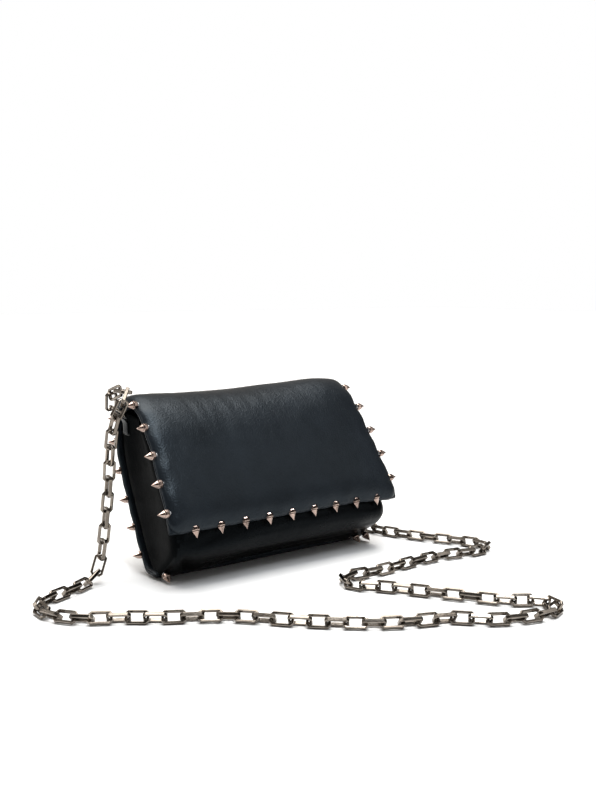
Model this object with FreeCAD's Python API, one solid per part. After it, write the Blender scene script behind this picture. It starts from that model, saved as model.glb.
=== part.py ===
import FreeCAD, Part
import math
import os

from FreeCAD import Vector

# A padded leather chain wallet that leans back on the flat of its base.
# +X is to the right, -Y is the front, +Z is up, and z = 0 is the surface it stands on.
# Millimetres throughout.

# Leather stack, from the outside in
LEATHER = 1.2
PADDING = 5.0
LINING = 0.8
STACK = LEATHER + PADDING + LINING

# Widths
POUCH_HALF = 89.0            # pouch, from the middle to a side edge
FLAP_TOP_HALF = 90.0         # flap at the fold
FLAP_END_HALF = 95.0         # flap at its lower edge
EDGE_BAND = 3.2              # width of the edge band that carries the studs
GUSSET = 1.2
GUSSET_LINING = 0.6

# Side outline of the pouch and the flap, as (y, z) from the middle of the base
SHIFT_Y = -14.0              # puts the origin under the middle of the object's depth
FRONT = [(12.5, 100.5), (0.5, 85), (-10.8, 68.5), (-21, 52), (-27.2, 37), (-28, 26), (-22.5, 17.5)]
BOTTOM = [(-22.5, 17.5), (-13, 8.2), (-1, 0)]
BASE = [(-1, 0), (13, 0)]
BACK = [(13, 0), (24.5, 9.5), (36, 29.5), (46, 47.5), (55.5, 66), (61.5, 84), (62, 99), (57.5, 111.5)]
FLAP = [(57.5, 111.5), (48, 119), (34, 122.3), (21, 118), (7, 106.5), (-6, 90), (-17.5, 73),
        (-28, 56), (-34.5, 41)]
CORNER_HEADING = (0.66, -0.75)
LEVEL_HEADING = (1, 0)
HINGE_HEADING = (-0.66, 0.75)
STRAIGHT = 1e-6              # a bend smaller than this is none
FLAP_ROOT_GAP = 0.3          # between the back's top edge and the flap's root
FLAP_TAPER_TOP = FLAP[2]     # the flap widens from here down to its lower edge
BEYOND = 12.0                # how far cutting shapes run past what they cut
REACH = 400.0                # a cutting block's size, larger than the object

# Cone studs and their screws
STUD_ACROSS = 5.6
STUD_COLLAR = 1.2
STUD_LENGTH = 6.2
STUD_TIP = 0.12              # the blunt tip's size, as a share of the stud's width
SCREW_RADIUS = 0.8
SCREW_LENGTH = 2.8
HEAD_RADIUS = 1.7
HEAD_LENGTH = 0.8
SIDE_STUD_STEP = 20.5
FLAP_FIRST_STUD = 34.5       # along the flap from the hinge
FLAP_SIDE_STUDS = 5
BACK_FIRST_STUD = 13.5       # along the back from the base
BACK_SIDE_STUDS = 5
BACK_TOP_STUD = 113.0
END_STUDS = 9
END_STUD_STEP = 19.0
END_STUD_SUNK = 1.0          # how far the lower row's collars sit in the edge band
CORNER_STUDS = [-85.5, 72.0, 85.5]
CORNER_STUD_AT = (-8.2, 4.9)
CORNER_STUD_WAY = (-0.86, -0.5)

# Hidden magnets
MAGNET_RADIUS = 7.0
MAGNET_THICK = 2.0
PLATE_RADIUS = 8.5
PLATE_THICK = 0.6
FLAP_MAGNET_DEPTH = LEATHER + 1.0
FRONT_MAGNET_DEPTH = LEATHER + 0.8

# Pockets inside
CARD_HALF = 46.0
CARD_LEAF = 0.8
CARD_STEP = 1.6              # from one leaf to the next, off the wall
CARD_OFF = 1.2               # from the lining to the first leaf
CARD_LEAVES = 4
CARD_LOW = 30.0              # height of the leaves' lower edge
CARD_TOP = 86.0              # height of the first leaf's top edge
CARD_DROP = 11.0             # each next leaf's top edge is this much lower
CARD_LINE = [(36, 29.5), (46, 47.5), (55.5, 66), (61, 82)]
SLIP_HALF = 78.0
SLIP_LEAF = 0.8
SLIP_OFF = 1.4               # from the lining to the leaf
SLIP_LOW = 39.0
SLIP_TOP = 77.0

# D-rings and their tabs
RING_AT = (38.0, 108.0)      # (y, z) of the ring's straight side
RING_BAR = 1.7
RING_STRAIGHT = 11.0
RING_DEPTH = 10.0
RING_OUT = 4.2               # from the gusset to the ring's straight side
RING_TILT = {-1: 40.0, 1: -62.0}   # the left ring stands, the right ring hangs
TAB_WIDTH = 7.0
TAB_THICK = 1.1
TAB_LENGTH = 15.0
TAB_PLAY = 0.35              # round the ring, inside the tab's eye

# Chain
LINK_LENGTH = 14.4
LINK_WIDTH = 8.4
LINK_BAR = 1.65
LINK_THICK = 2.5
LINK_CUT = 1.7
LINK_HOLE_CUT = 0.6
LINK_BEVEL = 0.4
LINK_PITCH = 10.4
PITCH_RANGE = (0.95, 1.1)    # shares of the pitch between which it is fitted to the route
ROUTE_STEP = 0.1             # between the route's measured places
BEND_SLACK = 0.09            # share of the pitch that a link gives up at a sharp bend
SHARP_BEND = math.radians(50)
LINK_SWAY = 7.0              # small uneven roll from link to link, degrees
SWAY_RATE = 2.4
ROLL_FADE = (4.0, 20.0)      # heights between which the links turn from lying to hanging

# The chain's route: control points of its curve, from the left ring to the right ring
CHAIN_ROUTE = [
    (-100.66, 24.41, 113.35), (-102.6, 22.8, 121.0), (-102.0, 16.5, 126.5), (-99.0, 5.0, 128.0),
    (-101.5, -3.5, 126.5), (-106.5, -5.0, 119.5), (-110.5, -1.5, 107.0), (-112.0, 1.0, 88.0),
    (-112.0, 3.5, 66.0),
    (-114.0, 4.5, 46.0), (-117.0, 5.0, 26.0), (-119.5, 5.5, 11.0), (-126.0, 3.5, 3.9),
    (-140.0, -5.5, 3.9), (-154.0, -11.0, 3.9), (-166.0, -16.0, 3.9), (-173.5, -23.5, 3.9),
    (-174.5, -35.5, 3.9), (-168.0, -49.5, 3.9), (-155.0, -62.5, 3.9), (-139.0, -70.5, 3.9),
    (-121.0, -85.0, 3.9), (-102.0, -95.0, 3.9), (-85.0, -106.5, 3.9), (-70.0, -123.5, 3.9),
    (-55.0, -140.0, 3.9), (-38.0, -154.5, 3.9), (-20.0, -168.5, 3.9), (0.0, -177.5, 3.9),
    (18.0, -183.5, 3.9), (28.0, -198.5, 3.9), (50.0, -208.5, 3.9), (72.0, -212.5, 3.9),
    (84.0, -205.5, 3.9), (79.0, -192.5, 3.9), (66.0, -185.5, 3.9), (53.5, -168.0, 3.9),
    (41.0, -150.0, 3.9), (28.5, -132.0, 3.9), (17.0, -115.5, 3.9), (6.0, -106.5, 3.9),
    (5.0, -92.5, 3.9), (17.0, -87.0, 3.9), (35.0, -92.0, 3.9), (57.0, -91.5, 3.9),
    (80.0, -90.0, 3.9), (104.0, -91.5, 3.9), (128.0, -100.0, 3.9), (145.0, -95.5, 3.9),
    (141.0, -79.5, 3.9), (127.0, -56.5, 3.9), (117.0, -38.0, 3.9), (108.0, -18.5, 3.9),
    (105.0, 3.5, 3.9), (105.0, 24.5, 3.9), (105.5, 42.5, 4.4), (106.0, 56.5, 11.0),
    (105.5, 60.5, 32.0), (105.0, 57.5, 52.0), (103.5, 44.5, 69.0), (101.0, 28.0, 80.0),
    (98.8, 23.9, 90.0), (97.7, 23.9, 99.9),
]
# Where the chain is parted into nodes, as links counted from the left ring
CHAIN_RUNS = {
    "chain_left_drop": (0, 15), "chain_left_floor": (15, 27), "chain_front_run": (27, 48),
    "chain_return_run": (48, 62), "chain_middle_run": (62, 77), "chain_back_run": (77, 88),
    "chain_rear_rise": (88, None),
}


# ---- curves and layers -------------------------------------------------------

def at(point, x=0.0):
    """A (y, z) outline point placed in the object's frame."""
    return Vector(x, point[0] + SHIFT_Y, point[1])


def outline(points, start=None, end=None):
    """The outline's places with the direction that it has at each of them."""
    places = [at(point) for point in points]
    last = len(places) - 1
    ways = [(places[min(i + 1, last)] - places[max(i - 1, 0)]).normalize() for i in range(last + 1)]
    if start:
        ways[0] = Vector(0, *start).normalize()
    if end:
        ways[last] = Vector(0, *end).normalize()
    return list(zip(places, ways))


def inward(way):
    """The unit normal that points into the pouch."""
    return Vector(0, -way.z, way.y)


def line(start, end):
    return Part.LineSegment(start, end).toShape()


def arc(here, way, there, next_way):
    """A smooth arc between two places with the directions that it has there."""
    reach = (there - here) / 3
    if reach.cross(way).Length + reach.cross(next_way).Length < STRAIGHT:
        return line(here, there)
    curve = Part.BezierCurve()
    curve.setPoles([here, here + way * reach.Length, there - next_way * reach.Length, there])
    return curve.toShape()


def edges_at(run, depth):
    """The outline moved inwards by the depth, as smooth arcs from place to place."""
    moved = [(place + inward(way) * depth, way) for place, way in run]
    return [arc(*here, *there) for here, there in zip(moved, moved[1:])]


def layer(run, near, far, half):
    """A sheet between two depths under an outline, as wide as the half width each side."""
    ends = [[place + inward(way) * depth for depth in (near, far)] for place, way in (run[0], run[-1])]
    closing = [line(*ends[0]), line(*ends[1])]
    rim = Part.__sortEdges__(edges_at(run, near) + closing + edges_at(run, far))
    face = Part.Face(Part.Wire(rim))
    face.translate(Vector(-half, 0, 0))
    return face.extrude(Vector(2 * half, 0, 0))


def x_prism(points, left, right):
    """A straight-sided block with an (y, z) outline between two widths."""
    places = [at(point, left) for point in points]
    return Part.Face(Part.makePolygon(places + places[:1])).extrude(Vector(right - left, 0, 0))


def y_prism(points):
    """A block with an (x, z) outline that runs right through the object's depth."""
    places = [Vector(x, -REACH / 2, z) for x, z in points]
    return Part.Face(Part.makePolygon(places + places[:1])).extrude(Vector(0, REACH, 0))


def between(half, low, high):
    """A block as wide as the half width each side, between two heights."""
    return Part.makeBox(2 * half, REACH, high - low, Vector(-half, -REACH / 2, low))


FRONT_RUN = outline(FRONT, end=CORNER_HEADING)
BOTTOM_RUN = outline(BOTTOM, CORNER_HEADING, LEVEL_HEADING)
BASE_RUN = outline(BASE)
BACK_RUN = outline(BACK, LEVEL_HEADING, HINGE_HEADING)
FLAP_RUN = outline(FLAP, start=HINGE_HEADING)


def back_wall(near, far, half):
    """The base and the back, which are one panel."""
    base = layer(BASE_RUN, near, far, half)
    back = layer(BACK_RUN, near, far, half)
    return base.fuse(back).removeSplitter()


def flap_outline(inset):
    """The flap's tapered outline, drawn in by an inset at its sides and its lower edge."""
    end = FLAP[-1][1]
    fold = FLAP_TAPER_TOP[1]
    top = fold + BEYOND
    low = end + inset if inset else end - BEYOND
    slope = (FLAP_END_HALF - FLAP_TOP_HALF) / (fold - end)
    wide = FLAP_END_HALF + (end - low) * slope - inset
    narrow = FLAP_TOP_HALF - inset
    return y_prism([(-wide, low), (wide, low), (narrow, fold), (narrow, top), (-narrow, top),
                    (-narrow, fold)])


def flap_layer(near, far):
    """One sheet of the flap with its full outline."""
    sheet = layer(FLAP_RUN, near, far, FLAP_END_HALF + BEYOND)
    return sheet.common(flap_outline(0))


# ---- studs -------------------------------------------------------------------

def aim(shape, place, direction):
    """Turns a shape that points up so that it points along the direction, at the place."""
    turn = FreeCAD.Rotation(Vector(0, 0, 1), direction)
    shape.Placement = FreeCAD.Placement(place, turn)
    return shape


def stud(place, direction):
    """A faceted cone: a short eight-sided collar under a four-sided point."""
    half = STUD_ACROSS / 2
    corners = [Vector(half * math.cos(math.radians(a)), half * math.sin(math.radians(a)), 0)
               for a in range(0, 361, 45)]
    collar = Part.Face(Part.makePolygon(corners)).extrude(Vector(0, 0, STUD_COLLAR))
    tip = Vector(0, 0, STUD_LENGTH)
    tip_ring = Part.makePolygon([corner * STUD_TIP + tip for corner in corners])
    foot_ring = Part.makePolygon([Vector(c.x, c.y, STUD_COLLAR) for c in corners])
    point = Part.makeLoft([foot_ring, tip_ring], True, True)
    return aim(collar.fuse(point).removeSplitter(), place, direction)


def screw(place, direction):
    """The screw behind a stud: a shank, and a flat head at its inner end."""
    shank = Part.makeCylinder(SCREW_RADIUS, SCREW_LENGTH, Vector(), Vector(0, 0, -1))
    head_at = Vector(0, 0, HEAD_LENGTH - SCREW_LENGTH)
    head = Part.makeCylinder(HEAD_RADIUS, HEAD_LENGTH, head_at, Vector(0, 0, -1))
    return aim(shank.fuse(head), place, direction)


def group(shapes):
    return Part.makeCompound(list(shapes))


def half_width(z):
    """The flap's half width at a height."""
    share = (FLAP_TAPER_TOP[1] - z) / (FLAP_TAPER_TOP[1] - FLAP[-1][1])
    return FLAP_TOP_HALF + (FLAP_END_HALF - FLAP_TOP_HALF) * max(0.0, share)


def side_places(run, distances, width_at):
    """Places along a side edge at distances along an outline, midway through the stack."""
    middle = Part.Wire(edges_at(run, STACK / 2))
    steps = middle.discretize(Distance=1.0)
    places = [steps[round(distance)] for distance in distances]
    return [Vector(width_at(place.z), place.y, place.z) for place in places]


flap_distances = [FLAP_FIRST_STUD + SIDE_STUD_STEP * i for i in range(FLAP_SIDE_STUDS)]
back_distances = [BACK_FIRST_STUD + SIDE_STUD_STEP * i for i in range(BACK_SIDE_STUDS)]
back_distances.append(BACK_TOP_STUD)
flap_side = side_places(FLAP_RUN, flap_distances, half_width)
back_side = side_places(BACK_RUN, back_distances, lambda z: POUCH_HALF)

flap_last, flap_down = FLAP_RUN[-1]
flap_end_mid = flap_last + inward(flap_down) * (STACK / 2) - flap_down * END_STUD_SUNK
back_low, back_way = BACK_RUN[1]
LEFT = Vector(-1, 0, 0)
RIGHT = Vector(1, 0, 0)


def mirrored(places):
    return [Vector(-place.x, place.y, place.z) for place in places]


def row(place, count, step):
    """Evenly spaced places across the object's width."""
    first = -step * (count - 1) / 2
    return [Vector(first + step * i, place.y, place.z) for i in range(count)]


STUD_ROWS = {
    "flap_left": (mirrored(flap_side), LEFT),
    "flap_right": (flap_side, RIGHT),
    "flap_end": (row(flap_end_mid, END_STUDS, END_STUD_STEP), flap_down),
    "back_left": (mirrored(back_side), LEFT),
    "back_right": (back_side, RIGHT),
    "back_end": (row(back_low, END_STUDS, END_STUD_STEP), inward(back_way) * -1),
    "corner": ([at(CORNER_STUD_AT, x) for x in CORNER_STUDS], Vector(0, *CORNER_STUD_WAY)),
}
STUDS = {name: group(stud(p, way) for p in places) for name, (places, way) in STUD_ROWS.items()}
SCREWS = {name: group(screw(p, way) for p in places) for name, (places, way) in STUD_ROWS.items()}


def drilled(shape, *rows):
    """The shape with room for the studs and screws of the named rows."""
    for name in rows:
        shape = shape.cut(SCREWS[name]).cut(STUDS[name])
    return shape


# ---- magnets -----------------------------------------------------------------

def disc(radius, thick, run_place, depth):
    """A disc under an outline's place, at a depth below the surface."""
    place, way = run_place
    return Part.makeCylinder(radius, thick, place + inward(way) * depth, inward(way))


FLAP_CATCH = FLAP_RUN[7]
FRONT_CATCH = FRONT_RUN[3]
flap_plate = disc(PLATE_RADIUS, PLATE_THICK, FLAP_CATCH, FLAP_MAGNET_DEPTH)
flap_magnet = disc(MAGNET_RADIUS, MAGNET_THICK, FLAP_CATCH, FLAP_MAGNET_DEPTH + PLATE_THICK)
front_magnet = disc(MAGNET_RADIUS, MAGNET_THICK, FRONT_CATCH, FRONT_MAGNET_DEPTH)
front_plate = disc(PLATE_RADIUS, PLATE_THICK, FRONT_CATCH, FRONT_MAGNET_DEPTH + MAGNET_THICK)


# ---- panels ------------------------------------------------------------------

def flap_parts():
    core = flap_outline(EDGE_BAND)
    pad_depth = LEATHER + PADDING
    leather = flap_layer(0, LEATHER).common(core)
    padding = flap_layer(LEATHER, pad_depth).common(core).cut(flap_magnet).cut(flap_plate)
    lining = flap_layer(pad_depth, STACK).common(core)
    band = drilled(flap_layer(0, STACK).cut(core), "flap_left", "flap_right", "flap_end")
    root = x_prism(root_gap(), -FLAP_END_HALF, FLAP_END_HALF)
    return {"flap_leather": leather.cut(root), "flap_padding": padding.cut(root),
            "flap_lining": lining.cut(root), "flap_edge_band": band.cut(root)}


def root_gap():
    """The thin slice between the back's top edge and the flap's root, across the stack."""
    hinge = Vector(0, *FLAP[0])
    along = Vector(0, *HINGE_HEADING).normalize()
    gap = along * FLAP_ROOT_GAP
    outer = hinge - inward(along)
    inner = hinge + inward(along) * (STACK + 1)
    return [(corner.y, corner.z) for corner in (outer, outer + gap, inner + gap, inner)]


def back_parts():
    core_half = POUCH_HALF - EDGE_BAND
    pad_depth = LEATHER + PADDING
    core = between(core_half, -BEYOND, REACH)
    band = back_wall(0, STACK, POUCH_HALF).cut(core)
    return {"back_leather": drilled(back_wall(0, LEATHER, core_half), "back_end"),
            "back_padding": drilled(back_wall(LEATHER, pad_depth, core_half), "back_end"),
            "back_edge_bands": drilled(band, "back_left", "back_right")}


def front_parts():
    pad_depth = LEATHER + PADDING
    padding = layer(FRONT_RUN, LEATHER, pad_depth, POUCH_HALF)
    return {"front_leather": layer(FRONT_RUN, 0, LEATHER, POUCH_HALF),
            "front_padding": padding.cut(front_magnet).cut(front_plate),
            "bottom_leather": drilled(layer(BOTTOM_RUN, 0, LEATHER, POUCH_HALF), "corner"),
            "bottom_padding": drilled(layer(BOTTOM_RUN, LEATHER, pad_depth, POUCH_HALF), "corner")}


def pocket_lining():
    """The lining of front, bottom, base and back, sewn from one length."""
    near = LEATHER + PADDING
    core_half = POUCH_HALF - EDGE_BAND
    front = layer(FRONT_RUN, near, STACK, core_half)
    bottom = layer(BOTTOM_RUN, near, STACK, core_half)
    return front.fuse(bottom).fuse(back_wall(near, STACK, core_half)).removeSplitter()


def gusset(near, far, side):
    """A side wall that fills the pouch's inner outline, between two distances from the middle."""
    edges = []
    for run in (FRONT_RUN, BOTTOM_RUN, BASE_RUN, BACK_RUN):
        edges += edges_at(run, STACK)
    ends = [place + inward(way) * STACK for place, way in (BACK_RUN[-1], FRONT_RUN[0])]
    mouth = line(*ends)
    face = Part.Face(Part.Wire(Part.__sortEdges__(edges + [mouth])))
    face.translate(Vector(side * near, 0, 0))
    return face.extrude(Vector(side * (far - near), 0, 0))


# ---- pockets -----------------------------------------------------------------

def card_slots():
    """Card leaves, each a step lower and a step further from the back wall."""
    run = outline(CARD_LINE)
    leaves = []
    for index in range(CARD_LEAVES):
        near = STACK + CARD_OFF + index * CARD_STEP
        leaf = layer(run, near, near + CARD_LEAF, CARD_HALF)
        leaves.append(leaf.common(between(REACH, CARD_LOW, CARD_TOP - index * CARD_DROP)))
    return group(leaves)


def slip_pocket():
    """A flat pocket leaf that stands just off the front's lining."""
    near = STACK + SLIP_OFF
    leaf = layer(FRONT_RUN[1:5], near, near + SLIP_LEAF, SLIP_HALF)
    return leaf.common(between(REACH, SLIP_LOW, SLIP_TOP))


# ---- rings and tabs ----------------------------------------------------------

def ring(side):
    """A D-ring of round wire that stands up and outwards from its straight side."""
    half = RING_STRAIGHT / 2
    ends = [Vector(0, -half, 0), Vector(0, half, 0)]
    top = Vector(RING_DEPTH, 0, 0)
    path = Part.Wire([Part.LineSegment(ends[0], ends[1]).toShape(),
                      Part.Arc(ends[1], top, ends[0]).toShape()])
    start = Part.Wire([Part.Circle(Vector(0, 0, 0), Vector(0, 1, 0), RING_BAR / 2).toShape()])
    wire = path.makePipeShell([start], True, False, 2)
    wire.rotate(Vector(), Vector(0, 1, 0), -RING_TILT[side])
    wire.translate(Vector(POUCH_HALF + RING_OUT, RING_AT[0] + SHIFT_Y, RING_AT[1]))
    return wire if side > 0 else wire.mirror(Vector(), Vector(1, 0, 0))


def tab(side):
    """A leather loop: two plies on the gusset, turned round the ring's straight side."""
    bore = RING_BAR / 2 + TAB_PLAY
    outer = bore + TAB_THICK
    middle_x = POUCH_HALF + RING_OUT
    low = RING_AT[1] - TAB_LENGTH
    y = RING_AT[0] + SHIFT_Y - TAB_WIDTH / 2
    eye = Part.makeCylinder(outer, TAB_WIDTH, Vector(middle_x, y, RING_AT[1]), Vector(0, 1, 0))
    leg = Part.makeBox(2 * TAB_THICK, TAB_WIDTH, TAB_LENGTH, Vector(POUCH_HALF, y, low))
    reach = Part.makeBox(RING_OUT, TAB_WIDTH, 2 * TAB_THICK,
                         Vector(POUCH_HALF, y, RING_AT[1] - outer))
    hole = Part.makeCylinder(bore, TAB_WIDTH, Vector(middle_x, y, RING_AT[1]), Vector(0, 1, 0))
    loop = eye.fuse(leg).fuse(reach).cut(hole)
    return loop if side > 0 else loop.mirror(Vector(), Vector(1, 0, 0))


# ---- chain -------------------------------------------------------------------

def cut_rectangle(length, width, cut):
    """A rectangle with cut corners, half a link's thickness below the middle."""
    a = length / 2
    b = width / 2
    corners = [(a - cut, b), (-a + cut, b), (-a, b - cut), (-a, -b + cut),
               (-a + cut, -b), (a - cut, -b), (a, -b + cut), (a, b - cut), (a - cut, b)]
    return Part.Face(Part.makePolygon([Vector(x, y, -LINK_THICK / 2) for x, y in corners]))


def link_solid():
    """A rectangular link with cut corners, lying along X with its face up."""
    outer = cut_rectangle(LINK_LENGTH, LINK_WIDTH, LINK_CUT)
    hole = cut_rectangle(LINK_LENGTH - 2 * LINK_BAR, LINK_WIDTH - 2 * LINK_BAR, LINK_HOLE_CUT)
    link = outer.cut(hole).extrude(Vector(0, 0, LINK_THICK))
    rims = [edge for edge in link.Edges if edge.BoundBox.ZLength < 0.01]
    return link.makeChamfer(LINK_BEVEL, rims)


def chain_curve():
    """The route as a clamped uniform curve of the second degree."""
    poles = [Vector(*point) for point in CHAIN_ROUTE]
    knots = list(range(len(poles) - 1))
    multiplicities = [3] + [1] * (len(knots) - 2) + [3]
    curve = Part.BSplineCurve()
    curve.buildFromPolesMultsKnots(poles, multiplicities, knots, False, 2)
    return curve


def joints_along(places, pitch):
    """The places where links meet: a pitch apart, or less where the chain bends and goes slack."""
    joints = [places[0]]
    before = places[1] - places[0]
    for place in places:
        step = place - joints[-1]
        if step.Length >= pitch * (1 - BEND_SLACK):
            bend = min(1.0, step.getAngle(before) / SHARP_BEND)
            if step.Length >= pitch * (1 - BEND_SLACK * bend):
                joints.append(place)
                before = step
    return joints


def chain_joints():
    """Joints for an even number of links, with the widest pitch at which they all fit the route."""
    curve = chain_curve()
    places = curve.discretize(Distance=ROUTE_STEP)
    count = 2 * int(curve.length() / LINK_PITCH / 2)
    fits, too_wide = [LINK_PITCH * share for share in PITCH_RANGE]
    for _ in range(12):
        pitch = (fits + too_wide) / 2
        if len(joints_along(places, pitch)) > count:
            fits = pitch
        else:
            too_wide = pitch
    return joints_along(places, fits)[:count] + [places[-1]], fits


def link_turn(index, count, along, height):
    """A link's turn: it lies at a slant on the surface and square where it hangs."""
    low, high = ROLL_FADE
    hang = min(1.0, max(0.0, (height - low) / (high - low)))
    end = Vector(-1, 0, 0) if index < count / 2 else Vector(0, -1, 0)
    up = Vector(0, 0, 1) * (1 - hang) + end * hang
    side = up.cross(along).normalize()
    turn = FreeCAD.Rotation(along, side, along.cross(side), "XYZ")
    quarter = 90 * ((index + 1) % 2)
    sway = LINK_SWAY * math.sin(SWAY_RATE * index) * (0 < index < count - 1)
    return turn.multiply(FreeCAD.Rotation(Vector(1, 0, 0), quarter + 45 * (1 - hang) + sway))


def chain_links():
    """The links in order, each turned a quarter from the one before."""
    joints, pitch = chain_joints()
    count = len(joints) - 1
    model = link_solid()
    links = []
    for index, (near, far) in enumerate(zip(joints, joints[1:])):
        middle = (near + far) / 2
        link = model.copy()
        turn = link_turn(index, count, (far - near).normalize(), middle.z)
        link.Placement = FreeCAD.Placement(middle, turn)
        links.append(link)
    return links, pitch


# ---- the whole wallet --------------------------------------------------------

def build():
    parts = {}
    parts.update(flap_parts())
    parts.update(back_parts())
    parts.update(front_parts())
    parts["pocket_lining"] = pocket_lining()
    wall = POUCH_HALF - EDGE_BAND
    for side, word in ((-1, "left"), (1, "right")):
        parts[word + "_gusset"] = gusset(wall - GUSSET, wall, side)
        parts[word + "_gusset_lining"] = gusset(wall - GUSSET - GUSSET_LINING, wall - GUSSET, side)
        parts[word + "_tab"] = tab(side)
        parts[word + "_ring"] = ring(side)
    parts["card_slots"] = card_slots()
    parts["slip_pocket"] = slip_pocket()
    parts["flap_magnet"] = flap_magnet
    parts["flap_magnet_plate"] = flap_plate
    parts["front_magnet"] = front_magnet
    parts["front_magnet_plate"] = front_plate
    for name in STUD_ROWS:
        parts[name + "_studs"] = STUDS[name]
        parts[name + "_stud_screws"] = SCREWS[name]
    links, pitch = chain_links()
    print("chain:", len(links), "links,", round(pitch, 2), "apart,", round(len(links) * pitch), "long")
    for name, (first, last) in CHAIN_RUNS.items():
        parts[name] = group(links[first:last])
    return parts


os.makedirs("parts", exist_ok=True)
for node, shape in build().items():
    shape.exportStep("parts/" + node + ".step")
    box = shape.BoundBox
    print(node, "solids", len(shape.Solids), "volume", round(shape.Volume, 1), "valid", shape.isValid(),
          "z", round(box.ZMin, 2), round(box.ZMax, 2), "y", round(box.YMin, 2), round(box.YMax, 2))
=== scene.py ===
import math

import bmesh
import bpy
import numpy as np
from mathutils import Matrix, Vector, noise


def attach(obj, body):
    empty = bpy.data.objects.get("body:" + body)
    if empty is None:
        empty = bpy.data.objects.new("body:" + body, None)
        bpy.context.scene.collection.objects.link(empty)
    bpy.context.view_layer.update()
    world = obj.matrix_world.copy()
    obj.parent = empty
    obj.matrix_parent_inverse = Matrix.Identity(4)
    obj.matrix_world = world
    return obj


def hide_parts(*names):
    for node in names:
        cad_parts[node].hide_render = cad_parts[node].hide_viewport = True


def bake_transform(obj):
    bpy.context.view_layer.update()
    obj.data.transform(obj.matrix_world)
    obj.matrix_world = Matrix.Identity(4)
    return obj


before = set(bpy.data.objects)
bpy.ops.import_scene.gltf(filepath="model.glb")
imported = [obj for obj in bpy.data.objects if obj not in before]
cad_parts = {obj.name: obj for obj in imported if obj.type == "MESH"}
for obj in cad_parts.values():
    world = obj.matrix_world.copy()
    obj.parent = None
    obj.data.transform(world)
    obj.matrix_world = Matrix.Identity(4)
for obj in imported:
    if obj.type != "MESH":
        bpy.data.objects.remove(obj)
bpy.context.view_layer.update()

# A padded leather chain wallet. Lengths are in millimetres unless a name or comment says metres.
MM = 0.001

CLOTH_PRESSURE = 4.0
CLOTH_FRAMES = 20
CLOTH_CAP = 0.0012

# Camera, at the photograph's viewing angle
CAMERA_AT = (-352.9, -537.6, 193.0)
CAMERA_TURN = (90 - 7.03, 0.0, -36.0)
CAMERA_LENS = 40.5

# The studio's own light, from its dim front to its bright back
ROOM_DIM = 0.05
ROOM_BRIGHT = 0.52
ROOM_FROM = 0.1
ROOM_TO = 0.95
ROOM_COLOUR = (1.0, 0.93, 0.85, 1)

# The wallet's side outline as (y, z), from the middle of its base, and the leather stack
SHIFT_Y = -14.0
FRONT = [(12.5, 100.5), (0.5, 85), (-10.8, 68.5), (-21, 52), (-27.2, 37), (-28, 26), (-22.5, 17.5)]
BOTTOM = [(-22.5, 17.5), (-13, 8.2), (-1, 0)]
BASE = [(-1, 0), (13, 0)]
BACK = [(13, 0), (24.5, 9.5), (36, 29.5), (46, 47.5), (55.5, 66), (61.5, 84), (62, 99), (57.5, 111.5)]
FLAP = [(57.5, 111.5), (48, 119), (34, 122.3), (21, 118), (7, 106.5), (-6, 90), (-17.5, 73),
        (-28, 56), (-34.5, 41)]
CORNER_HEADING = (0.66, -0.75)
LEVEL_HEADING = (1, 0)
HINGE_HEADING = (-0.66, 0.75)
STACK = 7.0
POUCH_HALF = 89.0
FLAP_TOP_HALF = 90.0
FLAP_END_HALF = 95.0

# Chain: its route in metres, from the left tab over the surface to the right one
CHAIN_REST = 0.0039          # height of the links' middles where they lie
CHAIN_DROP = [
    (-0.10066, 0.02441, 0.11335), (-0.1026, 0.0228, 0.1205), (-0.102, 0.0165, 0.1255),
    (-0.099, 0.005, 0.1267), (-0.1015, -0.0035, 0.1255), (-0.1065, -0.005, 0.119),
    (-0.1113, -0.0015, 0.107), (-0.1129, 0.001, 0.088), (-0.113, 0.0035, 0.066),
    (-0.115, 0.0045, 0.046), (-0.1177, 0.005, 0.026), (-0.1202, 0.0055, 0.011),
]
CHAIN_LIES = [
    (-0.126, 0.0035), (-0.14, -0.0055), (-0.154, -0.011), (-0.166, -0.016), (-0.1735, -0.0235),
    (-0.1745, -0.0355), (-0.168, -0.0495), (-0.155, -0.0625), (-0.139, -0.0705), (-0.121, -0.085),
    (-0.102, -0.095), (-0.085, -0.1065), (-0.07, -0.1235), (-0.055, -0.14), (-0.038, -0.1545),
    (-0.02, -0.1685), (0, -0.1775), (0.018, -0.1835), (0.028, -0.1985), (0.05, -0.2085),
    (0.072, -0.2125), (0.084, -0.2055), (0.079, -0.1925), (0.066, -0.1855), (0.0535, -0.168),
    (0.041, -0.15), (0.0285, -0.132), (0.017, -0.1155), (0.006, -0.1065), (0.005, -0.0925),
    (0.017, -0.087), (0.035, -0.092), (0.057, -0.0915), (0.08, -0.09), (0.104, -0.0915),
    (0.128, -0.1), (0.145, -0.0955), (0.141, -0.0795), (0.127, -0.0565), (0.117, -0.038),
    (0.108, -0.0185), (0.105, 0.0035), (0.105, 0.0245),
]
CHAIN_RISE = [
    (0.1055, 0.0425, 0.0044), (0.106, 0.0565, 0.011), (0.1055, 0.0605, 0.032),
    (0.105, 0.0575, 0.052), (0.1035, 0.0445, 0.069), (0.101, 0.028, 0.08), (0.0988, 0.0239, 0.09),
    (0.0977, 0.0239, 0.0999),
]
CHAIN_ROUTE = CHAIN_DROP + [(x, y, CHAIN_REST) for x, y in CHAIN_LIES] + CHAIN_RISE
LINK_LENGTH = 14.4
LINK_WIDTH = 8.4
LINK_BAR = 1.65
LINK_THICK = 2.5
LINK_CUT = 1.7
LINK_HOLE_CUT = 0.6
LINK_BEVEL = 0.4
LINK_HIGHLIGHT_ARRIS = 0.11             # width of the bevelled arris on each of a link's edges, painted bright as a highlight
LINK_PITCH = 10.4
BEND_SLACK = 0.09
SHARP_BEND = math.radians(50)
LINK_SWAY = 7.0
SWAY_RATE = 2.4
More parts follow.
